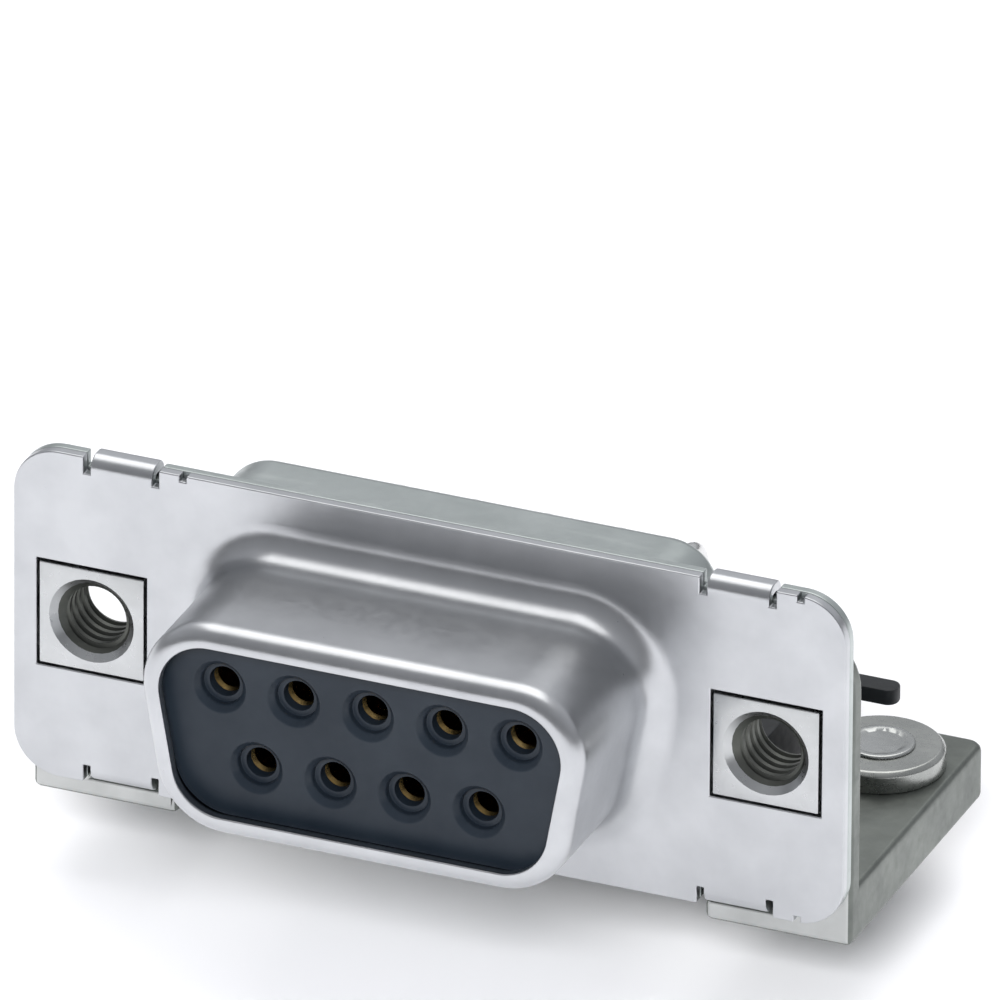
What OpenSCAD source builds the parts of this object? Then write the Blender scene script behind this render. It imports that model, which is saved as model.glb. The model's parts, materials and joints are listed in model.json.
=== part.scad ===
// Right-angle shielded D-sub socket connector, nine ways, with angle brackets,
// threaded inserts and board locks. Millimetres. X right, Y back, Z up.
// Origin: midway between the two threaded holes, on the front of the flange.

/* [Flange] */
// Overall width of the flange
flange_w = 30.81; // [28:0.01:34]
// Overall height of the flange
flange_h = 12.55; // [11:0.01:14]
// Corner radius of the flange
flange_corner = 1.7; // [1:0.1:2.4]
// Sheet thickness of the front shell
sheet = 0.38; // [0.25:0.01:0.5]
// Sheet thickness of the rear shell
rear_t = 0.35; // [0.25:0.01:0.5]
// Distance between the two threaded holes
insert_gap = 24.99; // [24:0.01:26]
// Side of the square window around each insert
window = 4.1; // [3.6:0.05:4.6]

/* [Socket shell] */
// Greatest width of the socket shell
snout_w = 16.33; // [15:0.01:17.5]
// Height of the socket shell
snout_h = 7.9; // [7:0.01:8.6]
// Corner radius of the socket shell
snout_corner = 2.6; // [2:0.1:3]
// Slant of each side of the socket shell, degrees
side_slant = 10; // [8:0.5:12]
// Projection of the socket shell in front of the flange
snout_len = 6.1; // [5.4:0.05:6.8]
// Radius of the rolled front edge
lip_r = 0.5; // [0.42:0.01:0.7]
// Flat land inside the rolled front edge
lip_land = 0.25; // [0.1:0.01:0.4]
// Radius where the socket shell meets the flange
root_r = 1.1; // [0.8:0.05:1.3]

/* [Clinch tabs] */
// Centre of each tab from the middle of the connector
tab_x = 11.4; // [10.9:0.05:11.8]
// Width of each tab
tab_w = 2.3; // [1.8:0.05:2.6]
// Outer radius of the tab's bend
tab_r = 0.5; // [0.42:0.01:0.6]
// Relief slot at each side of a tab
relief = 0.25; // [0.15:0.01:0.35]
// Depth of the relief slots
relief_d = 0.64; // [0.62:0.01:0.8]
// Length of the hook behind the rear shell
hook = 0.9; // [0.6:0.05:1]
// Distance of the small shear nick to the right of each tab's middle
nick_x = 2.3; // [1.9:0.05:2.6]
// Side of the shear nick
nick = 0.24; // [0.15:0.01:0.3]

/* [Rear cup] */
// Width of the rear cup
cup_w = 18.3; // [17.9:0.05:18.35]
// Height of the rear cup
cup_h = 10.7; // [10.3:0.05:10.9]
// Corner radius of the rear cup
cup_corner = 1.85; // [1.5:0.05:2.2]
// Depth of the rear cup behind the flange front
cup_depth = 4.45; // [3.9:0.05:4.9]
// Bend radius at the back of the cup
cup_bend = 0.6; // [0.45:0.05:0.8]
// Bend radius where the cup meets its flange
cup_root = 0.4; // [0.2:0.05:0.5]
// Width of the inward lip at the back of the cup
cup_land = 0.9; // [0.5:0.05:1]

/* [Insulators] */
// Distance of the socket face in front of the flange
face = 5.3; // [4.8:0.05:5.5]
// Gap between the plug and the shell around it
plug_gap = 0.12; // [0.05:0.01:0.2]
// Overhang of the front collar beyond the shell's outline
collar_over = 0.45; // [0.3:0.01:0.55]
// Depth at which the two insulators meet
split_y = 2; // [1.8:0.05:2.4]
// Depth of the back of the rear insulator
rear_y = 6; // [5.5:0.05:6.6]
// Radius of the mouth of each lead-in cone
mouth_r = 0.98; // [0.8:0.01:1.05]
// Depth of each lead-in cone
mouth_d = 0.45; // [0.3:0.01:0.6]
// Radius of each entry hole
entry_r = 0.55; // [0.5:0.01:0.6]
// Length of each entry hole
entry_d = 0.45; // [0.3:0.01:0.7]
// Working clearance between a moulding and what it holds
slip = 0.03; // [0.01:0.01:0.05]

/* [Contacts] */
// Spacing of contacts along a row
pitch = 2.74; // [2.6:0.01:2.85]
// Spacing of the two rows
row_gap = 2.84; // [2.7:0.01:3]
// Outer radius of a contact's sleeve
sleeve_r = 0.86; // [0.75:0.01:0.95]
// Bore radius of a contact's sleeve
bore_r = 0.52; // [0.48:0.01:0.54]
// Depth of the sleeve's bore
bore_d = 5; // [4:0.1:5.5]
// Width of the slot that splits the sleeve
slot_w = 0.22; // [0.15:0.01:0.3]
// Length of the slot that splits the sleeve
slot_len = 3.4; // [2.5:0.1:4]
// Radius of the shoulder between the insulators
shoulder_r = 1.12; // [1:0.01:1.2]
// Thickness of the shoulder
shoulder_t = 0.5; // [0.3:0.05:0.7]
// Radius of the stem through the rear insulator
stem_r = 0.6; // [0.5:0.01:0.7]
// Radius of a tail
tail_r = 0.32; // [0.28:0.01:0.36]
// Distance of the nearer row of tails behind the flange front
tail_near = 8.4; // [8.3:0.05:9]
// Distance between the two rows of tails
tail_step = 2.84; // [2.6:0.01:3]
// Bend radius of a tail on its centre line
tail_bend = 1; // [0.8:0.05:1.2]
// Length of each tail below the board seat
tail_below = 3.05; // [2.5:0.05:3.5]

/* [Brackets] */
// Depth of the board seat below the middle of the holes
seat = 7.26; // [6.9:0.01:7.6]
// Height of the bracket above the middle of the holes
plate_top = 4.6; // [3.5:0.1:5]
// Thickness of the upright plate
plate_t = 0.9; // [0.7:0.05:1.2]
// Width of the bracket
bracket_w = 5.4; // [5:0.02:5.4]
// Distance of a bracket's middle to the right of its threaded hole
bracket_off = 0.21; // [0:0.01:0.25]
// Corner radius of the upright plate
plate_corner = 2.3; // [1.5:0.1:2.4]
// Depth of the back of the foot behind the flange front
foot_back = 13.2; // [12.8:0.05:13.3]
// Thickness of the foot
foot_t = 2.06; // [1.7:0.02:2.2]
// Corner radius at the back of the foot
foot_corner = 0.6; // [0.3:0.05:1.2]

/* [Threaded inserts] */
// Side of the square head
head_side = 3.9; // [3.4:0.05:4]
// Radius of the thread's crests
thread_r = 1.11; // [1.04:0.01:1.19]
// Radius of the countersunk mouth
sink_r = 1.58; // [1.4:0.01:1.7]
// Radius of the shank through the bracket
shank_r = 1.88; // [1.75:0.01:1.94]
// Radius of the riveted collar behind the bracket
rivet_r = 2.4; // [2.2:0.05:2.6]
// Overall length of an insert
insert_len = 2.4; // [2.1:0.05:2.9]

/* [Board locks] */
// Distance of the board locks behind the flange front
lock_y = 10.1; // [9.8:0.05:10.4]
// Radius of the collar on the foot
lock_disc_r = 2.27; // [2:0.01:2.5]
// Thickness of the collar on the foot
lock_disc_t = 0.8; // [0.6:0.05:1.1]
// Radius of the split barrel
lock_r = 1.45; // [1.3:0.01:1.55]
// Bore radius of the split barrel
lock_bore = 0.8; // [0.7:0.01:0.9]
// Radius of the barbs that grip the wall of the board's hole
barb_r = 1.6; // [1.5:0.01:1.7]
// Length of the barrel between board seat and barbs
lock_grip = 0.75; // [0.6:0.05:0.9]
// Length of a board lock below the board seat
lock_below = 1.45; // [1.4:0.05:1.6]
// Width of the slots that split the barrel
lock_slot = 0.6; // [0.4:0.05:0.8]
// Radius of the rolled head on the collar
eyelet_r = 1.24; // [1.1:0.01:1.35]
// Height of the rolled head above the collar
eyelet_h = 0.12; // [0.08:0.01:0.2]
// Length of the eyelet's shank
eyelet_len = 2.4; // [1.8:0.1:2.6]

/* [Tail spacer] */
// Depth of the front of the tail spacer
spacer_front = 7.1; // [7:0.05:7.4]
// Half width of the tail spacer
spacer_hw = 9.2; // [8.8:0.05:9.5]
// Height of the spacer's top above the board seat
spacer_h = 3.2; // [2.9:0.02:3.6]
// Thickness of the spacer's top and walls
spacer_t = 0.8; // [0.6:0.05:1]
// Depth of the spacer's back face
spacer_back = 14.1; // [13.9:0.05:14.6]
// Half width over the spacer's rear ears
ear_hw = 11.96; // [11:0.02:12.2]
// Height of each ear
ear_h = 0.6; // [0.5:0.05:0.8]
// Radius of the rounded end of each ear
ear_round = 0.4; // [0.2:0.02:0.42]
// Gap between the spacer's walls and the board
spacer_lift = 0.3; // [0.1:0.05:0.5]

/* [Hidden] */
$fn = 96;
ways = 9;
insert_x = insert_gap / 2;
stack = sheet + rear_t;
tail_far = tail_near + tail_step;
foot_top = foot_t - seat;
ear_d = spacer_back - foot_back - slip;
ear_r = min(ear_round, ear_d / 2 - 0.02);
lock_top = foot_top + lock_disc_t;
flat_phi = [90, 0, -90, 180];
dee_phi = [90, -side_slant, -90, 180 + side_slant];
dee_x = snout_w / 2 - snout_corner;
dee_y = snout_h / 2 - snout_corner;
dee_low = dee_x - 2 * dee_y * tan(side_slant);
dee = [[-dee_x, dee_y], [dee_x, dee_y], [dee_low, -dee_y], [-dee_low, -dee_y]];
lip_in = snout_corner - lip_r - lip_land;
plug_r = snout_corner - sheet - plug_gap;
collar_r = snout_corner + collar_over;
collar_y = sqrt(pow(root_r + sheet, 2) - pow(root_r - collar_over, 2)) - root_r + slip;
cup_in = cup_depth - rear_t;
shell_col = [0.80, 0.81, 0.83];
rear_col = [0.62, 0.65, 0.64];
black_col = [0.10, 0.11, 0.12];
zinc_col = [0.56, 0.59, 0.55];

// arc centres of a rounded rectangle
function box_c(w, h, r) = [[r - w / 2, h / 2 - r], [w / 2 - r, h / 2 - r],
    [w / 2 - r, r - h / 2], [r - w / 2, r - h / 2]];
// clockwise turn from one side's outward direction to the next
function turn(phi, i) = (phi[i] - phi[(i + 1) % len(phi)] + 360) % 360;
// outline at distance r from the arc centres, n chords a corner; each corner runs on by lap degrees
function rim(c, phi, r, n, lap = 0) = [for (i = [0:len(c) - 1]) for (k = [0:n])
    let (j = (i + 1) % len(c), a = phi[i] + lap - k * (turn(phi, i) + 2 * lap) / n)
    c[j] + r * [cos(a), sin(a)]];
// a contact's place: X and Z, upper row of five then lower row of four
function spot(i) = i <= 5 ? [(i - 3) * pitch, row_gap / 2] : [(i - 7.5) * pitch, -row_gap / 2];
function tail_y(i) = i <= 5 ? tail_far : tail_near;

// from a drawing plane (X right, Y up, Z toward the mating side) to the part
module facing() rotate([90, 0, 0]) children();

module at_side(s) if (s > 0) children(); else mirror([1, 0, 0]) children();

// rounded plate from its arc centres, sides and radius
module slab(c, phi, r, h) {
    n = len(c);
    linear_extrude(height = h) polygon(c);
    for (i = [0:n - 1]) {
        j = (i + 1) % n;
        translate(c[i]) rotate([0, 0, phi[i]]) translate([-0.4, -norm(c[j] - c[i]), 0])
            cube([r + 0.4, norm(c[j] - c[i]), h]);
        translate(c[j]) rotate([0, 0, phi[j]]) rotate_extrude(angle = turn(phi, i)) square([r, h]);
    }
}

// a section carried once round the same outline; its X is the distance from the arc centres
module swept(c, phi) {
    n = len(c);
    for (i = [0:n - 1]) {
        j = (i + 1) % n;
        translate(c[i]) rotate([0, 0, phi[i]]) rotate([90, 0, 0])
            linear_extrude(height = norm(c[j] - c[i])) children();
        translate(c[j]) rotate([0, 0, phi[j]]) rotate_extrude(angle = turn(phi, i)) children();
    }
}

// quarter of a bent sheet: outer radius, thickness, and the quadrant it lies in
module bend(r, t, qx, qy) intersection() {
    difference() {
        circle(r);
        circle(r - t);
    }
    translate([qx > 0 ? 0 : -r - 1, qy > 0 ? 0 : -r - 1]) square(r + 1);
}

module at_tabs() for (sx = [-1, 1], sy = [0, 1]) mirror([0, sy, 0])
    translate([sx * tab_x, 0, 0]) children();

module windows(side, z0, h) for (sx = [-1, 1])
    translate([sx * insert_x - side / 2, -side / 2, z0]) cube([side, side, h]);

module front_shell() color(shell_col) facing() {
    difference() {
        translate([0, 0, -sheet])
            slab(box_c(flange_w, flange_h, flange_corner), flat_phi, flange_corner, sheet);
        translate([0, 0, -sheet - 1]) linear_extrude(height = sheet + 2)
            polygon(rim(dee, dee_phi, snout_corner + root_r + 0.4, 4, 8));
        windows(window, -sheet - 1, sheet + 2);
        at_tabs() translate([-tab_w / 2 - relief, flange_h / 2 - relief_d, -sheet - 1])
            cube([tab_w + 2 * relief, relief_d + 1, sheet + 2]);
        at_tabs() translate([nick_x - nick / 2, flange_h / 2 - nick, -sheet - 1])
            cube([nick, nick + 1, sheet + 2]);
    }
    swept(dee, dee_phi) {
        translate([snout_corner + root_r, root_r]) bend(root_r + sheet, sheet, -1, -1);
        translate([snout_corner + root_r, -sheet]) square([0.5, sheet]);
        translate([snout_corner - sheet, root_r]) square([sheet, snout_len - root_r - lip_r]);
    }
    swept(dee, dee_phi) {
        translate([snout_corner - lip_r, snout_len - lip_r]) bend(lip_r, sheet, 1, 1);
        translate([lip_in, snout_len - sheet]) square([lip_land, sheet]);
    }
    at_tabs() translate([-tab_w / 2, 0, 0]) rotate([90, 0, 90]) linear_extrude(height = tab_w) {
        translate([flange_h / 2 - relief_d, -sheet]) square([relief_d - tab_r, sheet]);
        translate([flange_h / 2 - tab_r, -tab_r]) bend(tab_r, sheet, 1, 1);
        translate([flange_h / 2 - sheet, -stack - slip]) square([sheet, stack + slip - tab_r]);
        translate([flange_h / 2 - hook, -stack - slip - sheet]) square([hook, sheet]);
    }
}

module rear_shell() color(rear_col) facing() {
    difference() {
        translate([0, 0, -stack])
            slab(box_c(flange_w, flange_h, flange_corner), flat_phi, flange_corner, rear_t);
        translate([0, 0, -stack - 1])
            slab(box_c(cup_w, cup_h, cup_corner), flat_phi, cup_corner + cup_root, rear_t + 2);
        windows(window, -stack - 1, rear_t + 2);
        at_tabs() translate([-tab_w / 2 - relief, flange_h / 2 - tab_r - slip, -stack - 1])
            cube([tab_w + 2 * relief, 2, rear_t + 2]);
    }
    swept(box_c(cup_w, cup_h, cup_corner), flat_phi) {
        translate([cup_corner + cup_root, -stack - cup_root]) bend(cup_root + rear_t, rear_t, -1, 1);
        translate([cup_corner - rear_t, cup_bend - cup_depth])
            square([rear_t, cup_depth - cup_bend - stack - cup_root]);
        translate([cup_corner - cup_bend, cup_bend - cup_depth]) bend(cup_bend, rear_t, 1, -1);
        translate([cup_corner - cup_bend - cup_land, -cup_depth]) square([cup_land, rear_t]);
    }
}

module front_insulator() color(black_col) facing() difference() {
    union() {
        translate([0, 0, -collar_y - 0.2]) linear_extrude(height = face + collar_y + 0.2)
            polygon(rim(dee, dee_phi, plug_r, 12));
        translate([0, 0, -split_y]) linear_extrude(height = split_y - collar_y)
            polygon(rim(dee, dee_phi, collar_r, 12));
    }
    for (i = [1:ways]) translate(spot(i)) rotate_extrude() polygon([[0, face + 1],
        [mouth_r + 1 * (mouth_r - entry_r) / mouth_d, face + 1], [entry_r, face - mouth_d],
        [entry_r, face - mouth_d - entry_d], [sleeve_r + slip, face - mouth_d - entry_d],
        [sleeve_r + slip, shoulder_t / 2 - split_y], [shoulder_r + slip, shoulder_t / 2 - split_y],
        [shoulder_r + slip, -split_y - 1], [0, -split_y - 1]]);
}

module rear_insulator() color(black_col) facing() difference() {
    union() {
        translate([0, 0, slip - cup_in]) slab(box_c(cup_w - 2 * rear_t - 0.3, cup_h - 2 * rear_t - 0.3,
            cup_corner - rear_t - 0.15), flat_phi, cup_corner - rear_t - 0.15, cup_in - split_y - slip);
        translate([0, 0, -rear_y]) slab(box_c(cup_w - 2 * (cup_bend + cup_land + slip),
            cup_h - 2 * (cup_bend + cup_land + slip), 0.5), flat_phi, 0.5, rear_y - cup_in + 1);
    }
    for (i = [1:ways]) translate(spot(i)) rotate_extrude() polygon([[0, 1 - split_y],
        [shoulder_r + slip, 1 - split_y], [shoulder_r + slip, -split_y - shoulder_t / 2],
        [stem_r + slip, -split_y - shoulder_t / 2], [stem_r + slip, -rear_y - 1], [0, -rear_y - 1]]);
}

module contact(i) color([0.72, 0.56, 0.25]) {
    tip = face - mouth_d - entry_d - 0.1;
    x = spot(i)[0];
    z = spot(i)[1];
    facing() difference() {
        translate([x, z, 0]) rotate_extrude() polygon([[0, tip - bore_d], [bore_r, tip - bore_d + 0.3],
            [bore_r, tip - 0.12], [bore_r + 0.12, tip], [sleeve_r - 0.15, tip], [sleeve_r, tip - 0.3],
            [sleeve_r, shoulder_t / 2 - split_y], [shoulder_r, shoulder_t / 2 - split_y],
            [shoulder_r, -split_y - shoulder_t / 2], [stem_r, -split_y - shoulder_t / 2],
            [stem_r, -rear_y], [0, -rear_y]]);
        translate([x, z, tip - slot_len]) rotate([0, 0, 40])
            translate([-slot_w / 2, -shoulder_r, 0]) cube([slot_w, 2 * shoulder_r, slot_len + 1]);
    }
    translate([x, rear_y - 0.5, z]) rotate([-90, 0, 0])
        cylinder(r = tail_r, h = tail_y(i) - tail_bend - rear_y + 0.5);
    translate([x, tail_y(i) - tail_bend, z - tail_bend]) rotate([90, 0, 90])
        rotate_extrude(angle = 90) translate([tail_bend, 0]) circle(tail_r);
    translate([x, tail_y(i), 0.4 - seat - tail_below])
        cylinder(r = tail_r, h = z - tail_bend + seat + tail_below - 0.4);
    translate([x, tail_y(i), -seat - tail_below]) cylinder(r1 = tail_r * 0.5, r2 = tail_r, h = 0.4);
}

module contact_1() contact(1);
module contact_2() contact(2);
module contact_3() contact(3);
module contact_4() contact(4);
module contact_5() contact(5);
module contact_6() contact(6);
module contact_7() contact(7);
module contact_8() contact(8);
module contact_9() contact(9);

module tail_spacer() color(black_col) difference() {
    union() {
        translate([-spacer_hw, spacer_front, spacer_lift - seat])
            cube([2 * spacer_hw, spacer_back - spacer_front, spacer_h - spacer_lift]);
        translate([0, spacer_back - ear_d / 2, spacer_h - ear_h - seat])
            slab(box_c(2 * ear_hw, ear_d, ear_r), flat_phi, ear_r, ear_h);
    }
    translate([spacer_t - spacer_hw, spacer_front + spacer_t, -seat - 1])
        cube([2 * (spacer_hw - spacer_t), spacer_back - spacer_front - 2 * spacer_t, spacer_h - spacer_t + 1]);
    for (i = [1:ways]) translate([spot(i)[0], tail_y(i), -seat]) cylinder(r = tail_r + slip, h = spacer_h + 1);
}

module bracket(s) color(zinc_col) translate([s * insert_x, 0, 0]) difference() {
    translate([bracket_off, 0, 0]) {
        facing() translate([0, plate_top - bracket_w / 2, -stack - plate_t])
            slab(box_c(bracket_w, bracket_w, plate_corner), flat_phi, plate_corner, plate_t);
        translate([-bracket_w / 2, stack, -seat])
            cube([bracket_w, plate_t, seat + plate_top - bracket_w / 2]);
        translate([0, foot_back - bracket_w / 2, -seat])
            slab(box_c(bracket_w, bracket_w, foot_corner), flat_phi, foot_corner, foot_t);
        translate([-bracket_w / 2, stack, -seat])
            cube([bracket_w, foot_back - bracket_w / 2 - stack, foot_t]);
    }
    rotate([-90, 0, 0]) cylinder(r = shank_r + slip, h = stack + plate_t + 1);
    translate([bracket_off, lock_y, -seat]) {
        translate([0, 0, -1]) cylinder(r = lock_r + slip, h = foot_t + 2);
        cylinder(r1 = lock_r + 0.35, r2 = lock_r + slip, h = 0.3);
    }
    translate([s * (tab_x - insert_x) - tab_w / 2 - relief, stack - 1, -flange_h / 2 - 0.15])
        cube([tab_w + 2 * relief, 1 + slip + sheet + 0.15, hook + 0.3]);
}

module bracket_left() bracket(-1);
module bracket_right() bracket(1);

module threaded_insert(s) color([0.74, 0.75, 0.74]) at_side(s) translate([insert_x, 0, 0]) difference() {
    union() {
        translate([-head_side / 2, 0, -head_side / 2]) cube([head_side, stack, head_side]);
        rotate([-90, 0, 0]) cylinder(r = shank_r, h = stack + plate_t + 0.5);
        translate([0, stack + plate_t, 0]) rotate([-90, 0, 0])
            cylinder(r1 = rivet_r, r2 = rivet_r - 0.3, h = insert_len - stack - plate_t);
    }
    translate([0, -1, 0]) rotate([-90, 0, 0]) cylinder(r = thread_r, h = insert_len + 2);
    translate([0, -0.5, 0]) rotate([-90, 0, 0])
        cylinder(r1 = sink_r + 0.5, r2 = thread_r, h = sink_r - thread_r + 0.5);
}

module threaded_insert_left() threaded_insert(-1);
module threaded_insert_right() threaded_insert(1);

module at_lock(s) translate([s * insert_x + bracket_off, lock_y, 0]) children();

module board_lock(s) color([0.60, 0.61, 0.57]) at_lock(s) difference() {
    rotate_extrude() polygon([[lock_bore, -seat - lock_below], [lock_bore + 0.3, -seat - lock_below],
        [barb_r, -seat - lock_grip - 0.45], [barb_r, -seat - lock_grip - 0.25],
        [lock_r, -seat - lock_grip], [lock_r, foot_top], [lock_disc_r, foot_top],
        [lock_disc_r, lock_top - 0.15], [lock_disc_r - 0.15, lock_top], [lock_bore, lock_top]]);
    for (a = [0, 90]) rotate([0, 0, a]) translate([-lock_slot / 2, -barb_r - 1, -seat - lock_below - 1])
        cube([lock_slot, 2 * barb_r + 2, lock_below + 0.6]);
}

module board_lock_left() board_lock(-1);
module board_lock_right() board_lock(1);

module lock_eyelet(s) color([0.70, 0.71, 0.69]) at_lock(s) rotate_extrude()
    polygon([[0, lock_top - eyelet_len], [lock_bore - slip - 0.15, lock_top - eyelet_len],
        [lock_bore - slip, lock_top - eyelet_len + 0.2], [lock_bore - slip, lock_top],
        [eyelet_r, lock_top], [eyelet_r - 0.06, lock_top + eyelet_h],
        [eyelet_r - 0.26, lock_top + eyelet_h], [eyelet_r - 0.42, lock_top + eyelet_h / 2],
        [0, lock_top + eyelet_h / 2]]);

module lock_eyelet_left() lock_eyelet(-1);
module lock_eyelet_right() lock_eyelet(1);

front_shell();
rear_shell();
front_insulator();
rear_insulator();
tail_spacer();
contact_1();
contact_2();
contact_3();
contact_4();
contact_5();
contact_6();
contact_7();
contact_8();
contact_9();
bracket_left();
bracket_right();
threaded_insert_left();
threaded_insert_right();
board_lock_left();
board_lock_right();
lock_eyelet_left();
lock_eyelet_right();
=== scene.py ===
import json
import math

import bpy
from mathutils import Matrix, Vector

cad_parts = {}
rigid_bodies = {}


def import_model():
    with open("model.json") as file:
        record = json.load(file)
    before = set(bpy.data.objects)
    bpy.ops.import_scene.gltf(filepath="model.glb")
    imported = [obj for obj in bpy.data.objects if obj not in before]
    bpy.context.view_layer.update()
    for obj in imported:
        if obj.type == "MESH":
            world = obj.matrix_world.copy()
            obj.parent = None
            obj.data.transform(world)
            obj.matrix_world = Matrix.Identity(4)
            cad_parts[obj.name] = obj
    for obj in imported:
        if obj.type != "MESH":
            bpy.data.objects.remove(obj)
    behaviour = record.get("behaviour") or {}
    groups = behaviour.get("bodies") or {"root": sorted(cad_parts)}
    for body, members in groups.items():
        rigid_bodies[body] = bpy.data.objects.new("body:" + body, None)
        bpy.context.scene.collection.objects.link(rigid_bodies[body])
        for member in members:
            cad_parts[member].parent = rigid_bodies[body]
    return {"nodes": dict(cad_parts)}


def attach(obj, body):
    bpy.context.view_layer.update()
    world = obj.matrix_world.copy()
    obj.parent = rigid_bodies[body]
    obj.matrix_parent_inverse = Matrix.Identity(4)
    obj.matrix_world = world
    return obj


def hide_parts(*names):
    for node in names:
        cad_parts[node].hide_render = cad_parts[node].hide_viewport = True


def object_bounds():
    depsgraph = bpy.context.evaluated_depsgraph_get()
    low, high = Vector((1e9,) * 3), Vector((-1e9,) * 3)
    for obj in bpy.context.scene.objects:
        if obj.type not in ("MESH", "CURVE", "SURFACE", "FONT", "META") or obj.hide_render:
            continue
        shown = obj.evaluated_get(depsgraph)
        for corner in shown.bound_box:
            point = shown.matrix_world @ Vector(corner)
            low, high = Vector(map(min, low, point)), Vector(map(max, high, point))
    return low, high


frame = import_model()
cad_low, cad_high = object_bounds()

# ---- Front shell ---------------------------------------------------------------
# One sheet of tin-plated steel. The socket shell is drawn forward out of the flange
# and its front edge is rolled in; two square windows are pierced for the inserts,
# and four tabs on the long edges are bent back to clinch the rear shell.
MM = 0.001
SHEET = 0.38
FLANGE_WIDTH, FLANGE_HEIGHT, FLANGE_CORNER = 30.81, 12.55, 1.7
INSERT_X = 12.495
WINDOW = 4.1
SNOUT_WIDTH, SNOUT_HEIGHT, SNOUT_CORNER, SNOUT_LENGTH = 16.33, 7.9, 2.6, 6.1
SIDE_SLANT = 10
LIP_RADIUS, LIP_LAND, ROOT_RADIUS = 0.62, 0.13, 1.1
TAB_X, TAB_WIDTH, TAB_RADIUS, TAB_REACH, TAB_HOOK = 11.4, 2.3, 0.5, 1.14, 0.9
HOOK_RADIUS = 0.4
RELIEF_WIDTH, RELIEF_DEPTH = 0.25, 0.64
NICK_X, NICK = 2.3, 0.24
CORNER_STEPS, SNOUT_STEPS, BEND_STEPS, ROOT_STEPS, HOOK_STEPS = 14, 16, 8, 12, 6
STRAIGHT, RIM = 0.1, 0.12
SAME_PLACE, WELD = 1e-3, 1e-4
EDGE_ROUND = 0.055
SHEET_SHARP, SHEET_SMOOTH, FLAT_WEIGHT = 50, 60, 60
SQUARE = ((-1, 1), (1, 1), (1, -1), (-1, -1))


def select_only(obj):
    """Leaves edit mode and selects one object, and nothing else."""
    if bpy.context.object and bpy.context.object.mode != "OBJECT":
        bpy.ops.object.mode_set(mode="OBJECT")
    bpy.ops.object.select_all(action="DESELECT")
    obj.select_set(True)
    bpy.context.view_layer.objects.active = obj


def quiet_edit(obj):
    """Opens one object in edit mode with nothing selected."""
    select_only(obj)
    bpy.ops.object.mode_set(mode="EDIT")
    bpy.ops.mesh.select_all(action="DESELECT")


def with_mesh(obj, change):
    """Runs change(mesh) on an object that is open in edit mode, with its selection in step."""
    bpy.ops.object.mode_set(mode="OBJECT")
    change(obj.data)
    bpy.ops.object.mode_set(mode="EDIT")


def place_chosen(obj, points, before=None):
    """Puts the selected vertices at points in millimetres: in index order, or each
    one at the point that answers to the place in before where it lies now."""
    def move(mesh):
        chosen = [v for v in mesh.vertices if v.select]
        for k, vertex in enumerate(chosen):
            if before:
                k = min(range(len(before)),
                        key=lambda i: (vertex.co - Vector(before[i])).length_squared)
            vertex.co = points[k]
    with_mesh(obj, move)


def finish_piece(obj, modifiers):
    """Adds and applies modifiers, given as (type, settings), on a finished mesh."""
    select_only(obj)
    for kind, settings in modifiers:
        modifier = obj.modifiers.new(kind.lower(), kind)
        for key, value in settings.items():
            setattr(modifier, key, value)
        bpy.ops.object.modifier_apply(modifier=modifier.name)


def to_metres(obj):
    """Brings a piece that was shaped in millimetres to the frame's metres."""
    select_only(obj)
    obj.scale = (MM, MM, MM)
    bpy.ops.object.transform_apply(location=False, rotation=False, scale=True)


def outline(centres, sides, distance, steps):
    """Points at a distance from four arc centres, clockwise from the top left."""
    points = []
    for i in range(4):
        x, z = centres[(i + 1) % 4]
        turn = (sides[i] - sides[(i + 1) % 4]) % 360
        for k in range(steps + 1):
            a = math.radians(sides[i] - k * turn / steps)
            points.append((x + distance * math.cos(a), z + distance * math.sin(a)))
    return points


def box_centres(width, height, corner):
    """The four arc centres of a box outline, in the order that outline() takes."""
    x, z = width / 2 - corner, height / 2 - corner
    return [(-x, z), (x, z), (x, -z), (-x, -z)]


BOX_SIDES = [90, 0, -90, 180]
DEE_SIDES = [90, -SIDE_SLANT, -90, 180 + SIDE_SLANT]
dee_x, dee_z = SNOUT_WIDTH / 2 - SNOUT_CORNER, SNOUT_HEIGHT / 2 - SNOUT_CORNER
dee_low = dee_x - 2 * dee_z * math.tan(math.radians(SIDE_SLANT))
DEE = [(-dee_x, dee_z), (dee_x, dee_z), (dee_low, -dee_z), (-dee_low, -dee_z)]


def arc(centre, radius, start, end, steps):
    """A bend in a section, as (distance, depth) pairs."""
    return [(centre[0] + radius * math.cos(math.radians(start + (end - start) * k / steps)),
             centre[1] + radius * math.sin(math.radians(start + (end - start) * k / steps)))
            for k in range(steps + 1)]


def add_loop(points):
    """Adds a closed wire of the given points to the mesh that is open."""
    bpy.ops.object.mode_set(mode="OBJECT")
    bpy.ops.object.mode_set(mode="EDIT")
    bpy.ops.mesh.select_all(action="DESELECT")
    bpy.ops.mesh.primitive_circle_add(vertices=len(points), fill_type="NOTHING")
    place_chosen(bpy.context.object, points)


def draw_rings(obj, centres, sides, section, steps):
    """Draws sheet along a section: an outline loop, extruded ring by ring."""
    for k, (distance, depth) in enumerate(section):
        points = [(x, depth, z) for x, z in outline(centres, sides, distance, steps)]
        if k == 0:
            add_loop(points)
        else:
            bpy.ops.mesh.extrude_edges_move()
            place_chosen(obj, points, before)
        before = points


def new_piece(name):
    """An empty mesh object, open in edit mode."""
    bpy.ops.mesh.primitive_plane_add(size=1)
    obj = bpy.context.object
    obj.name = obj.data.name = name
    quiet_edit(obj)
    bpy.ops.mesh.select_all(action="SELECT")
    bpy.ops.mesh.delete(type="VERT")
    return obj


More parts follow.
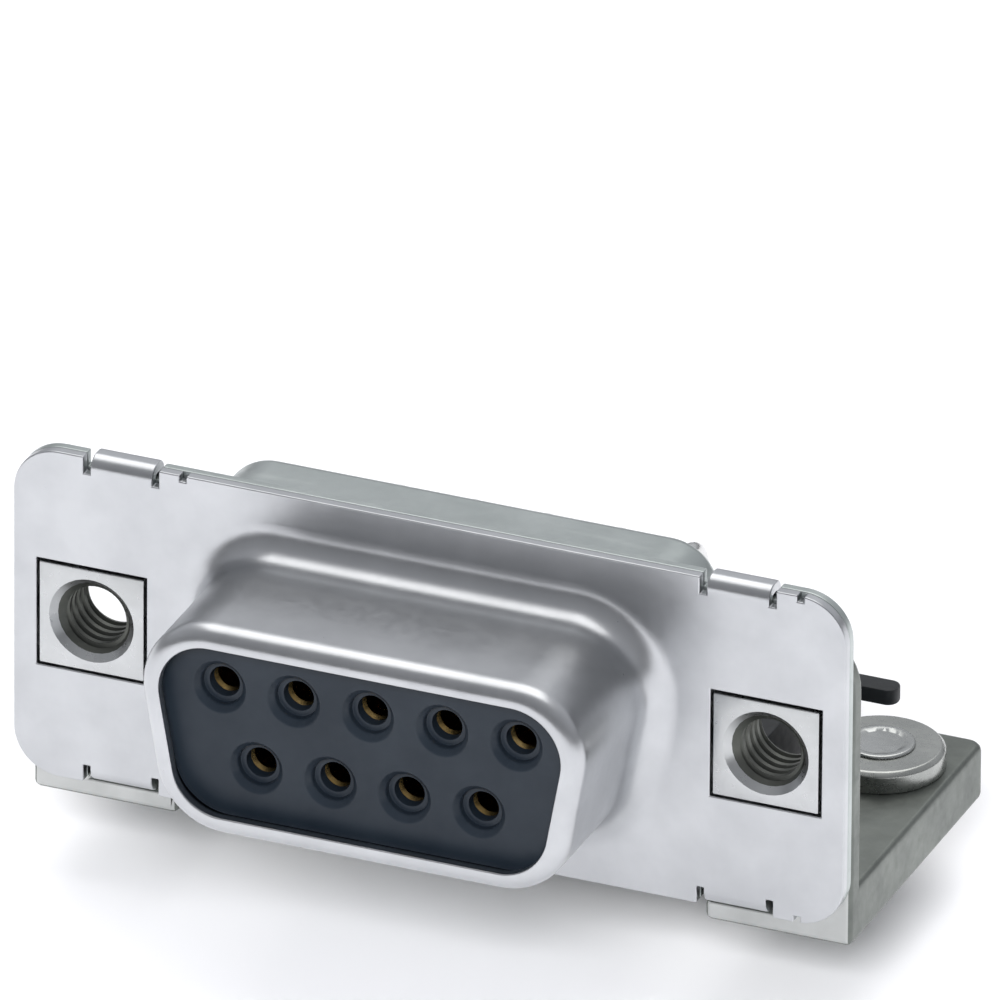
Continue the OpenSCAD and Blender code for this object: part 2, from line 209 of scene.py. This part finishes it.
def fill_flat(obj, depth):
    """Fills the open loops that lie at one depth, leaving the holes between them."""
    def choose(mesh):
        used = {}
        for poly in mesh.polygons:
            for key in poly.edge_keys:
                used[key] = used.get(key, 0) + 1
        for vertex in mesh.vertices:
            vertex.select = False
        for edge in mesh.edges:
            flat = all(abs(mesh.vertices[v].co.y - depth) < WELD for v in edge.vertices)
            edge.select = flat and used.get(tuple(sorted(edge.vertices)), 0) < 2
            if edge.select:
                for v in edge.vertices:
                    mesh.vertices[v].select = True
    bpy.ops.mesh.select_mode(type="EDGE")
    with_mesh(obj, choose)
    bpy.ops.mesh.fill(use_beauty=True)
    bpy.ops.mesh.select_all(action="SELECT")
    bpy.ops.mesh.remove_doubles(threshold=WELD)
    bpy.ops.mesh.select_mode(type="VERT")


def flange_edge():
    """The front flange's outline: a relief slot at each side of every tab, then a shear nick."""
    half_h = FLANGE_HEIGHT / 2
    corners = outline(box_centres(FLANGE_WIDTH, FLANGE_HEIGHT, FLANGE_CORNER), BOX_SIDES,
                      FLANGE_CORNER, CORNER_STEPS)
    notch = []
    for x in (-TAB_X, TAB_X):
        for edge, side in ((x - TAB_WIDTH / 2, -1), (x + TAB_WIDTH / 2, 1)):
            outer = edge + side * RELIEF_WIDTH
            four = [(outer, half_h), (outer, half_h - RELIEF_DEPTH),
                    (edge, half_h - RELIEF_DEPTH), (edge, half_h - TAB_RADIUS)]
            notch += four if side < 0 else four[::-1]
        near, far = x + NICK_X - NICK / 2, x + NICK_X + NICK / 2
        notch += [(near, half_h), (near, half_h - NICK), (far, half_h - NICK), (far, half_h)]
    count = CORNER_STEPS + 1
    top_right, low_right, low_left, top_left = (corners[count * i:count * i + count] for i in range(4))
    low_notch = [(x, -z) for x, z in reversed(notch)]
    return notch + top_right[1:] + low_right[:-1] + low_notch + low_left + top_left


front = new_piece("front_shell_sheet")
section = ([(SNOUT_CORNER - LIP_RADIUS - LIP_LAND, -SNOUT_LENGTH)]
           + arc((SNOUT_CORNER - LIP_RADIUS, LIP_RADIUS - SNOUT_LENGTH), LIP_RADIUS, -90, 0, BEND_STEPS)
           + [(SNOUT_CORNER, STRAIGHT + LIP_RADIUS - SNOUT_LENGTH),
              (SNOUT_CORNER, -ROOT_RADIUS - STRAIGHT)]
           + arc((SNOUT_CORNER + ROOT_RADIUS, -ROOT_RADIUS), ROOT_RADIUS, 180, 90, ROOT_STEPS)
           + [(SNOUT_CORNER + ROOT_RADIUS + RIM, 0)])
draw_rings(front, DEE, DEE_SIDES, section, SNOUT_STEPS)
add_loop([(x, 0, z) for x, z in flange_edge()])
for side in (-1, 1):
    x = side * INSERT_X
    add_loop([(x + a * WINDOW / 2, 0, b * WINDOW / 2) for a, b in SQUARE])
fill_flat(front, 0)

# each tab: bent back over the rear shell and hooked behind it
for x in (-TAB_X, TAB_X):
    for up in (-1, 1):
        edge_z = up * (FLANGE_HEIGHT / 2 - TAB_RADIUS)
        bpy.ops.mesh.select_all(action="DESELECT")

        def choose(mesh, x=x, edge_z=edge_z):
            for vertex in mesh.vertices:
                p = vertex.co
                vertex.select = (abs(p.z - edge_z) < SAME_PLACE and abs(p.y) < SAME_PLACE
                                 and abs(abs(p.x - x) - TAB_WIDTH / 2) < SAME_PLACE)
            for edge in mesh.edges:
                edge.select = all(mesh.vertices[v].select for v in edge.vertices)
        with_mesh(front, choose)
        z_top = FLANGE_HEIGHT / 2
        path = arc((z_top - TAB_RADIUS, TAB_RADIUS), TAB_RADIUS, -90, 0, BEND_STEPS)[1:]
        path += arc((z_top - HOOK_RADIUS, TAB_REACH - HOOK_RADIUS), HOOK_RADIUS, 0, 90, HOOK_STEPS)
        path += [(z_top - TAB_HOOK, TAB_REACH)]
        for z, y in path:
            bpy.ops.mesh.extrude_edges_move()

            def move(mesh, z=up * z, y=y):
                for vertex in mesh.vertices:
                    if vertex.select:
                        vertex.co.y, vertex.co.z = y, z
            with_mesh(front, move)
bpy.ops.mesh.select_all(action="SELECT")
bpy.ops.mesh.normals_make_consistent(inside=False)


def face_forward(mesh, depth=0.0, toward=-1):
    """True if the flat face at one depth looks the way it should."""
    return sum(p.normal.y * p.area for p in mesh.polygons
               if abs(p.center.y - depth) < WELD) * toward > 0


bpy.ops.object.mode_set(mode="OBJECT")
if not face_forward(front.data):
    front.data.flip_normals()
SHEET_EDGE = {"width": EDGE_ROUND, "segments": 2, "limit_method": "ANGLE", "use_clamp_overlap": True,
              "angle_limit": math.radians(SHEET_SHARP), "loop_slide": False}
finish_piece(front, [("SOLIDIFY", {"thickness": SHEET, "offset": -1, "use_even_offset": True}),
                     ("BEVEL", SHEET_EDGE)])
bpy.ops.object.shade_smooth_by_angle(angle=math.radians(SHEET_SMOOTH))
finish_piece(front, [("WEIGHTED_NORMAL", {"keep_sharp": True, "weight": FLAT_WEIGHT})])
to_metres(front)


def node_group(name, inputs, outputs):
    """An empty shader group with float inputs and outputs; returns it with its two ends."""
    tree = bpy.data.node_groups.new(name, "ShaderNodeTree")
    for socket, value in inputs.items():
        made = tree.interface.new_socket(socket, in_out="INPUT", socket_type="NodeSocketFloat")
        made.default_value = value
    for socket in outputs:
        tree.interface.new_socket(socket, in_out="OUTPUT", socket_type="NodeSocketFloat")
    return tree, tree.nodes.new("NodeGroupInput"), tree.nodes.new("NodeGroupOutput")


def node(tree, kind, links=None, **settings):
    """Adds a node, sets its attributes or input values, and links its inputs."""
    made = tree.nodes.new(kind)
    for key, value in settings.items():
        if hasattr(made, key):
            setattr(made, key, value)
        else:
            made.inputs[key.replace("_", " ")].default_value = value
    for key, source in (links or {}).items():
        tree.links.new(source, made.inputs[key])
    return made


def build_surface_variation():
    """Broad clouding, fine grain and drawn-out handling marks on an object's own coordinates."""
    tree, start, end = node_group("surface_variation",
                                  {"Broad": 400.0, "Fine": 4000.0, "Drawn": 1200.0},
                                  ["Clouding", "Grain", "Marks"])
    place = node(tree, "ShaderNodeTexCoord").outputs["Object"]
    broad = node(tree, "ShaderNodeTexNoise", {"Vector": place, "Scale": start.outputs["Broad"]},
                 Detail=4.0, Roughness=0.55)
    fine = node(tree, "ShaderNodeTexNoise", {"Vector": place, "Scale": start.outputs["Fine"]},
                Detail=3.0, Roughness=0.6)
    turned = node(tree, "ShaderNodeMapping", {"Vector": place}, Rotation=(0.0, math.radians(24), 0.0),
                  Scale=(0.08, 1.0, 1.0))
    drawn = node(tree, "ShaderNodeTexNoise",
                 {"Vector": turned.outputs[0], "Scale": start.outputs["Drawn"]},
                 Detail=2.0, Roughness=0.5)
    for source, low, high, name in ((broad, 0.34, 0.66, "Clouding"), (fine, 0.2, 0.8, "Grain"),
                                    (drawn, 0.58, 0.72, "Marks")):
        spread = node(tree, "ShaderNodeMapRange", {"Value": source.outputs["Fac"]},
                      From_Min=low, From_Max=high)
        tree.links.new(spread.outputs[0], end.inputs[name])
    return tree


SURFACE_VARIATION = build_surface_variation()


def finish_material(name, light, dark, gloss, metal=1.0, scales=(400.0, 4000.0, 1200.0),
                    bump=0.001, marks=0.3, specular=0.5):
    """A surface whose colour clouds between two tones, with grain and handling marks in its gloss."""
    material = bpy.data.materials.new(name)
    material.use_nodes = True
    tree = material.node_tree
    surface = tree.nodes["Principled BSDF"]
    surface.inputs["Metallic"].default_value = metal
    surface.inputs["Specular IOR Level"].default_value = specular
    varied = node(tree, "ShaderNodeGroup", node_tree=SURFACE_VARIATION)
    for key, value in zip(("Broad", "Fine", "Drawn"), scales):
        varied.inputs[key].default_value = value
    tone = node(tree, "ShaderNodeMix", {"Factor": varied.outputs["Clouding"]}, data_type="RGBA")
    tone.inputs["A"].default_value = (*dark, 1)
    tone.inputs["B"].default_value = (*light, 1)
    tree.links.new(tone.outputs["Result"], surface.inputs["Base Color"])
    rough = node(tree, "ShaderNodeMapRange", {"Value": varied.outputs["Grain"]},
                 To_Min=gloss[0], To_Max=gloss[1])
    marked = node(tree, "ShaderNodeMath", {0: varied.outputs["Marks"]}, operation="MULTIPLY")
    marked.inputs[1].default_value = marks * (gloss[1] - gloss[0])
    total = node(tree, "ShaderNodeMath", {0: rough.outputs[0], 1: marked.outputs[0]}, operation="ADD")
    tree.links.new(total.outputs[0], surface.inputs["Roughness"])
    height = node(tree, "ShaderNodeBump", {"Height": varied.outputs["Grain"]}, Strength=1.0,
                  Distance=bump * MM)
    tree.links.new(height.outputs["Normal"], surface.inputs["Normal"])
    return material


tin_plate = finish_material(
    "tin_plated_steel", light=(0.565, 0.575, 0.59), dark=(0.50, 0.51, 0.525),
    gloss=(0.27, 0.34), scales=(420.0, 3200.0, 700.0), bump=0.0007, marks=0.25)
front.data.materials.append(tin_plate)
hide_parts("front_shell")
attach(front, "root")

# ---- Rear shell ------------------------------------------------------------------
# The second steel sheet, darker plated. A shallow cup is drawn backward out of its
# flange and turned in at the back; it lies flat behind the front shell, where the
# four tabs clinch the two together.
REAR_SHEET, REAR_FACE = 0.35, 0.73
CUP_WIDTH, CUP_HEIGHT, CUP_CORNER, CUP_DEPTH = 18.3, 10.7, 1.85, 4.45
CUP_BEND, CUP_ROOT, CUP_LAND = 0.6, 0.4, 0.9
RECESS_DEPTH = 0.53

rear = new_piece("rear_shell_sheet")
cup_section = ([(CUP_CORNER - CUP_BEND - CUP_LAND, CUP_DEPTH)]
               + arc((CUP_CORNER - CUP_BEND, CUP_DEPTH - CUP_BEND), CUP_BEND, 90, 0, BEND_STEPS)
               + [(CUP_CORNER, REAR_FACE + CUP_ROOT + STRAIGHT)]
               + arc((CUP_CORNER + CUP_ROOT, REAR_FACE + CUP_ROOT), CUP_ROOT, 180, 270, BEND_STEPS)
               + [(CUP_CORNER + CUP_ROOT + RIM, REAR_FACE)])
draw_rings(rear, box_centres(CUP_WIDTH, CUP_HEIGHT, CUP_CORNER), BOX_SIDES, cup_section, CORNER_STEPS)
rear_corners = outline(box_centres(FLANGE_WIDTH, FLANGE_HEIGHT, FLANGE_CORNER), BOX_SIDES,
                       FLANGE_CORNER, CORNER_STEPS)
recesses = []
for x in (-TAB_X, TAB_X):
    low, high = x - TAB_WIDTH / 2 - RELIEF_WIDTH, x + TAB_WIDTH / 2 + RELIEF_WIDTH
    top = FLANGE_HEIGHT / 2
    recesses += [(low, top), (low, top - RECESS_DEPTH), (high, top - RECESS_DEPTH), (high, top)]
right_end = 2 * (CORNER_STEPS + 1)
rear_edge = (recesses + rear_corners[:right_end] + [(x, -z) for x, z in reversed(recesses)]
             + rear_corners[right_end:])
add_loop([(x, REAR_FACE, z) for x, z in rear_edge])
for side in (-1, 1):
    x = side * INSERT_X
    add_loop([(x + a * WINDOW / 2, REAR_FACE, b * WINDOW / 2) for a, b in SQUARE])
fill_flat(rear, REAR_FACE)
bpy.ops.mesh.select_all(action="SELECT")
bpy.ops.mesh.normals_make_consistent(inside=False)
bpy.ops.object.mode_set(mode="OBJECT")
if not face_forward(rear.data, REAR_FACE, 1):
    rear.data.flip_normals()
finish_piece(rear, [("SOLIDIFY", {"thickness": REAR_SHEET, "offset": -1, "use_even_offset": True}),
                    ("BEVEL", SHEET_EDGE)])
bpy.ops.object.shade_smooth_by_angle(angle=math.radians(SHEET_SMOOTH))
finish_piece(rear, [("WEIGHTED_NORMAL", {"keep_sharp": True, "weight": FLAT_WEIGHT})])
to_metres(rear)
rear.data.materials.append(finish_material(
    "grey_plated_steel", light=(0.51, 0.545, 0.535), dark=(0.43, 0.465, 0.455),
    gloss=(0.28, 0.42), scales=(300.0, 3000.0, 1500.0), bump=0.0014, marks=0.6))
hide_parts("rear_shell")
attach(rear, "root")

# ---- Insulators ------------------------------------------------------------------
# Two mouldings in black glass-filled plastic hold the contacts between them. The front
# one fills the socket shell and has a lead-in cone at each contact; the rear one fills
# the cup and shows as a plain block behind it.
INSULATOR_EDGE, NODE_WELD = 0.05, 2e-4
PITCH, ROW_GAP, SOCKET_FACE = 2.74, 2.84, -5.3
STEP_RADIUS, STEP_DEPTH, STEP_SIDES = 0.76, 0.45, 64


def welded_copy(source, name):
    """A copy of a node's loose triangles, in millimetres, with its doubles merged."""
    select_only(frame["nodes"][source])
    bpy.ops.object.duplicate()
    obj = bpy.context.object
    obj.name = obj.data.name = name
    bpy.ops.object.parent_clear(type="CLEAR_KEEP_TRANSFORM")
    for key in list(obj.keys()):
        if key.startswith("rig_"):
            del obj[key]
    obj.data.materials.clear()
    bpy.ops.mesh.customdata_custom_splitnormals_clear()
    obj.scale = (1 / MM, 1 / MM, 1 / MM)
    bpy.ops.object.transform_apply(location=False, rotation=False, scale=True)
    quiet_edit(obj)
    bpy.ops.mesh.select_all(action="SELECT")
    bpy.ops.mesh.remove_doubles(threshold=NODE_WELD)
    bpy.ops.object.mode_set(mode="OBJECT")
    return obj


def edge_and_smooth(obj, width, sharp, segments=2, smooth=40):
    """Rounds the edges sharper than an angle and sets the shading."""
    finish_piece(obj, [("BEVEL", {"width": width, "segments": segments, "limit_method": "ANGLE",
                                  "use_clamp_overlap": False, "angle_limit": math.radians(sharp),
                                  "loop_slide": False})])
    bpy.ops.object.shade_smooth_by_angle(angle=math.radians(smooth))
    finish_piece(obj, [("WEIGHTED_NORMAL", {"keep_sharp": True, "weight": FLAT_WEIGHT})])


def hand_over(obj, source, material):
    """Brings a finished piece into the frame in place of its node."""
    to_metres(obj)
    obj.data.materials.append(material)
    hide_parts(source)
    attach(obj, "root")


moulding = finish_material(
    "black_moulded_plastic", light=(0.015, 0.021, 0.029), dark=(0.010, 0.015, 0.022),
    gloss=(0.34, 0.5), metal=0.0, scales=(350.0, 2600.0, 900.0), bump=0.003, marks=0.4,
    specular=0.32)
SPOTS = ([((i - 2) * PITCH, ROW_GAP / 2) for i in range(5)]
         + [((i - 1.5) * PITCH, -ROW_GAP / 2) for i in range(4)])
for source in ("front_insulator", "rear_insulator"):
    piece = welded_copy(source, source + "_moulding")
    if source == "front_insulator":
        # the foot of each lead-in cone is a small flat step round the contact
        for x, z in SPOTS:
            bpy.ops.mesh.primitive_cylinder_add(vertices=STEP_SIDES, radius=STEP_RADIUS,
                                                depth=2 * STEP_DEPTH, location=(x, SOCKET_FACE, z),
                                                rotation=(math.radians(90), 0, 0))
            step = bpy.context.object
            finish_piece(piece, [("BOOLEAN", {"object": step, "operation": "DIFFERENCE",
                                              "solver": "EXACT"})])
            bpy.data.objects.remove(step)
    edge_and_smooth(piece, INSULATOR_EDGE, sharp=40)
    hand_over(piece, source, moulding)

# ---- Contacts --------------------------------------------------------------------
# Nine turned copper-alloy sockets, their mating ends gold plated and split so that they
# spring on a pin. Their tails turn down to the board and are tinned for soldering.
CONTACTS = 9
TINNED_FROM, TINNED_BLEND = 6.2, 0.4
TIN_COLOUR = (0.66, 0.66, 0.65, 1)
gold = finish_material(
    "gold_plated_contact", light=(0.58, 0.40, 0.16), dark=(0.44, 0.29, 0.10),
    gloss=(0.16, 0.28), scales=(900.0, 5000.0, 2500.0), bump=0.001, marks=0.4)
tree = gold.node_tree
gold_tone = next(n for n in tree.nodes if n.bl_idname == "ShaderNodeMix")
depth = node(tree, "ShaderNodeSeparateXYZ",
             {0: node(tree, "ShaderNodeTexCoord").outputs["Object"]})
tinned = node(tree, "ShaderNodeMapRange", {"Value": depth.outputs["Y"]},
              From_Min=TINNED_FROM * MM, From_Max=(TINNED_FROM + TINNED_BLEND) * MM)
tinned_tone = node(tree, "ShaderNodeMix", {"Factor": tinned.outputs[0],
                                           "A": gold_tone.outputs["Result"]}, data_type="RGBA")
tinned_tone.inputs["B"].default_value = TIN_COLOUR
tree.links.new(tinned_tone.outputs["Result"], tree.nodes["Principled BSDF"].inputs["Base Color"])
for number in range(1, CONTACTS + 1):
    contact = frame["nodes"]["contact_%d" % number]
    contact.data.materials.clear()
    contact.data.materials.append(gold)

# ---- Brackets --------------------------------------------------------------------
# One zinc casting used twice: an upright plate behind each end of the flange and a
# thick foot that stands on the board. Its edges are rounded by tumbling.
BRACKET_EDGE, LIT_FACE_NORMAL = 0.24, -0.8
# two tones of the same zinc, chosen by which way a face looks: the darker one on sides and tops is
# painted shade, the lighter one on forward faces is painted light
zinc_painted_shade = finish_material(
    "zinc_painted_shade", light=(0.215, 0.23, 0.212), dark=(0.15, 0.162, 0.15),
    gloss=(0.36, 0.52), scales=(500.0, 2400.0, 1100.0), bump=0.004, marks=0.5)
zinc_painted_lit = finish_material(
    "zinc_painted_lit", light=(0.54, 0.55, 0.54), dark=(0.46, 0.47, 0.46),
    gloss=(0.28, 0.4), scales=(500.0, 2400.0, 1100.0), bump=0.002, marks=0.5)
for side in ("left", "right"):
    bracket = welded_copy("bracket_" + side, "bracket_%s_casting" % side)
    edge_and_smooth(bracket, BRACKET_EDGE, sharp=40, segments=3, smooth=50)
    hand_over(bracket, "bracket_" + side, zinc_painted_shade)
    # faces that look forward get the lighter copy of the zinc as painted light; the darker copy on the
    # other faces is painted shade
    bracket.data.materials.append(zinc_painted_lit)
    for face in bracket.data.polygons:
        if face.normal.y < LIT_FACE_NORMAL:
            face.material_index = 1

# ---- Threaded inserts ------------------------------------------------------------
# Turned steel, tin plated. The square head sits in the flange's windows, the shank is
# riveted over behind the bracket, and the bore is tapped for the cable's jackscrews.
THREAD_PITCH, THREAD_ROOT, THREAD_START = 0.42, 1.3, 0.95
THREAD_TURNS, THREAD_STEPS, RUN_OUT = 12, 48, 0.35
RIDGE_FOOT, RIDGE_CREST = 0.94, 0.14
INSERT_EDGE, INSERT_LENGTH, INSERT_SHARP, INSERT_SMOOTH = 0.06, 2.4, 60, 35
BORE_REACH, BORE_START = 1.34, 0.22


def thread_cutter(x):
    """A tap's coil: a ridge swept round the bore's axis, trimmed flat at both ends."""
    bpy.ops.mesh.primitive_circle_add(vertices=4, fill_type="NOTHING")
    coil = bpy.context.object
    coil.name = coil.data.name = "thread_cutter"
    quiet_edit(coil)
    bpy.ops.mesh.select_all(action="SELECT")
    half = THREAD_PITCH / 2
    place_chosen(coil, [(THREAD_START, 0, -half * RIDGE_FOOT), (THREAD_ROOT, 0, -half * RIDGE_CREST),
                        (THREAD_ROOT, 0, half * RIDGE_CREST), (THREAD_START, 0, half * RIDGE_FOOT)])
    bpy.ops.object.mode_set(mode="OBJECT")
    finish_piece(coil, [("SCREW", {"axis": "Z", "angle": math.radians(360),
                                   "screw_offset": THREAD_PITCH, "iterations": THREAD_TURNS,
                                   "steps": THREAD_STEPS, "render_steps": THREAD_STEPS,
                                   "use_merge_vertices": True, "merge_threshold": 1e-5})])
    quiet_edit(coil)
    # stood along the bore and cut off beyond both faces of the insert
    bpy.ops.mesh.select_all(action="SELECT")
    bpy.ops.transform.translate(value=(0, 0, -THREAD_TURNS / 2 * THREAD_PITCH))

    def lay_down(mesh):
        for vertex in mesh.vertices:
            a, b, c = vertex.co
            vertex.co = (x + a, c + INSERT_LENGTH / 2, -b)
    with_mesh(coil, lay_down)
    for y, direction in ((-RUN_OUT, -1), (INSERT_LENGTH + RUN_OUT, 1)):
        bpy.ops.mesh.select_all(action="SELECT")
        bpy.ops.mesh.bisect(plane_co=(0, y, 0), plane_no=(0, direction, 0), use_fill=True,
                            clear_outer=True)
    bpy.ops.mesh.select_all(action="SELECT")
    bpy.ops.mesh.normals_make_consistent(inside=False)
    bpy.ops.object.mode_set(mode="OBJECT")
    return coil


insert_steel = finish_material(
    "plated_insert_steel", light=(0.56, 0.57, 0.575), dark=(0.49, 0.50, 0.50),
    gloss=(0.24, 0.36), scales=(420.0, 3600.0, 1800.0), bump=0.0014, marks=0.6)
# the bore's faces get a much darker steel: partly a darker plating, partly painted shade inside the
# bore
bore_plating_and_shade = finish_material(
    "bore_plating_and_shade", light=(0.15, 0.155, 0.14), dark=(0.10, 0.105, 0.095),
    gloss=(0.36, 0.5), scales=(420.0, 3600.0, 1800.0), bump=0.0014, marks=0.6)
for side, x in (("left", -INSERT_X), ("right", INSERT_X)):
    insert = welded_copy("threaded_insert_" + side, "threaded_insert_%s_tapped" % side)
    finish_piece(insert, [("BEVEL", {"width": INSERT_EDGE, "segments": 2, "limit_method": "ANGLE",
                                     "use_clamp_overlap": False, "loop_slide": False,
                                     "angle_limit": math.radians(INSERT_SHARP)})])
    cutter = thread_cutter(x)
    finish_piece(insert, [("BOOLEAN", {"object": cutter, "operation": "DIFFERENCE",
                                       "solver": "EXACT"})])
    bpy.data.objects.remove(cutter)
    bpy.ops.object.shade_smooth_by_angle(angle=math.radians(INSERT_SMOOTH))
    hand_over(insert, "threaded_insert_" + side, insert_steel)
    insert.data.materials.append(bore_plating_and_shade)
    # faces inside the bore take the darker steel, plating and painted shade together
    for face in insert.data.polygons:
        off_axis = math.hypot(face.center.x / MM - x, face.center.z / MM)
        if off_axis < BORE_REACH and face.center.y / MM > BORE_START:
            face.material_index = 1

# ---- Board locks -----------------------------------------------------------------
# A turned collar with a split barrel is pressed through each foot, and an eyelet is
# rolled over on top of it. The barrel's barbs grip the wall of the board's hole.
LOCK_EDGE = 0.05
lock_steel = finish_material(
    "lock_steel", light=(0.42, 0.43, 0.41), dark=(0.35, 0.36, 0.345),
    gloss=(0.22, 0.34), scales=(500.0, 3600.0, 1800.0), bump=0.0014, marks=0.6)
eyelet_steel = finish_material(
    "eyelet_steel", light=(0.48, 0.49, 0.48), dark=(0.40, 0.41, 0.40),
    gloss=(0.2, 0.32), scales=(700.0, 3600.0, 1800.0), bump=0.0012, marks=0.6)
for side in ("left", "right"):
    lock = welded_copy("board_lock_" + side, "board_lock_%s_turned" % side)
    edge_and_smooth(lock, LOCK_EDGE, sharp=40)
    hand_over(lock, "board_lock_" + side, lock_steel)
    eyelet = welded_copy("lock_eyelet_" + side, "lock_eyelet_%s_rolled" % side)
    edge_and_smooth(eyelet, LOCK_EDGE, sharp=30, segments=3)
    hand_over(eyelet, "lock_eyelet_" + side, eyelet_steel)

# ---- Tail spacer -----------------------------------------------------------------
# A thin moulded box behind the connector keeps the tails on the board's grid; its ears
# reach out behind the two feet.
SPACER_EDGE = 0.07
spacer_plastic = finish_material(
    "spacer_plastic", light=(0.020, 0.022, 0.024), dark=(0.014, 0.016, 0.018),
    gloss=(0.4, 0.55), metal=0.0, scales=(350.0, 2600.0, 900.0), bump=0.003, marks=0.4,
    specular=0.3)
spacer = welded_copy("tail_spacer", "tail_spacer_moulding")
edge_and_smooth(spacer, SPACER_EDGE, sharp=40)
hand_over(spacer, "tail_spacer", spacer_plastic)

# ---- Camera, floor, lights ------------------------------------------------------
bpy.ops.object.select_all(action="DESELECT")
LENS, SENSOR = 1200.0, 36.0
VIEW_WIDTH = 34.211
AZIMUTH, ELEVATION, ROLL = math.radians(22.322), math.radians(27.102), math.radians(0.4015)
AIM_RIGHT, AIM_UP = 2.487, 6.404
FLOOR_SIZE, FLOOR_GAP, FLOOR_GLOW = 3, 0.00001, 0.05
FRONT_SKY, BACK_SKY, HORIZON_SKY = 0.32, 0.68, 0.3
right = Vector((math.cos(AZIMUTH), math.sin(AZIMUTH), 0))
ahead = Vector((-math.sin(AZIMUTH) * math.cos(ELEVATION), math.cos(AZIMUTH) * math.cos(ELEVATION),
                -math.sin(ELEVATION)))
up = right.cross(ahead)
right, up = (right * math.cos(ROLL) + up * math.sin(ROLL), up * math.cos(ROLL) - right * math.sin(ROLL))
aim = (right * AIM_RIGHT + up * AIM_UP) * MM
camera = bpy.data.objects.new("camera", bpy.data.cameras.new("camera"))
camera.data.lens, camera.data.sensor_width = LENS, SENSOR
camera.location = aim - ahead * (VIEW_WIDTH * MM * LENS / SENSOR)
camera.rotation_euler = Matrix((right, up, -ahead)).transposed().to_euler()
camera.data.clip_end = 10
bpy.context.collection.objects.link(camera)
bpy.context.scene.camera = camera

bpy.ops.mesh.primitive_plane_add(size=FLOOR_SIZE, location=(0, 0, cad_low.z - FLOOR_GAP))
floor = bpy.context.object
floor.name = "floor"
bpy.ops.object.transform_apply(location=True)
floor_material = bpy.data.materials.new("floor_white")
floor_material.use_nodes = True
surface = floor_material.node_tree.nodes["Principled BSDF"]
surface.inputs["Base Color"].default_value = (0.93, 0.93, 0.94, 1)
surface.inputs["Roughness"].default_value = 0.9
surface.inputs["Specular IOR Level"].default_value = 0.1
surface.inputs["Emission Color"].default_value = (1, 1, 1, 1)
surface.inputs["Emission Strength"].default_value = FLOOR_GLOW
floor.data.materials.append(floor_material)

# a pale room, brighter behind the part than in front of it and dim along the horizon
world = bpy.data.worlds.new("studio")
world.use_nodes = True
sky = world.node_tree
backdrop = sky.nodes["Background"]
backdrop.inputs["Color"].default_value = (0.93, 0.95, 1.0, 1)
looking = node(sky, "ShaderNodeSeparateXYZ", {0: node(sky, "ShaderNodeTexCoord").outputs["Generated"]})
front_to_back = node(sky, "ShaderNodeMapRange", {"Value": looking.outputs["Y"]},
                     From_Min=-0.9, From_Max=0.9, To_Min=FRONT_SKY, To_Max=BACK_SKY)
horizon = node(sky, "ShaderNodeMapRange", {"Value": looking.outputs["Z"]},
               From_Min=0.04, From_Max=0.34, To_Min=HORIZON_SKY, To_Max=1.0)
brightness = node(sky, "ShaderNodeMath", {0: front_to_back.outputs[0], 1: horizon.outputs[0]},
                  operation="MULTIPLY")
sky.links.new(brightness.outputs[0], backdrop.inputs["Strength"])
bpy.context.scene.world = world


def softbox(name, direction, size, watts, colour, reflected=True):
    """A soft area light a metre away; unreflected ones only lift the shadows."""
    light = bpy.data.lights.new(name, "AREA")
    light.shape, light.size, light.size_y = "RECTANGLE", size[0], size[1]
    light.energy, light.color = watts, colour
    obj = bpy.data.objects.new(name, light)
    away = Vector(direction).normalized()
    obj.location = away
    obj.rotation_euler = away.to_track_quat("Z", "Y").to_euler()
    obj.visible_glossy = reflected
    bpy.context.collection.objects.link(obj)


softbox("overhead_softbox", direction=(-0.10, 0.27, 0.96), size=(0.95, 1.06), watts=5.2,
        colour=(1.0, 0.99, 0.97))
softbox("front_fill", direction=(0.22, -0.80, 0.54), size=(0.45, 0.3), watts=11.0,
        colour=(0.98, 0.98, 1.0), reflected=False)
bpy.context.scene.view_settings.view_transform = "Standard"
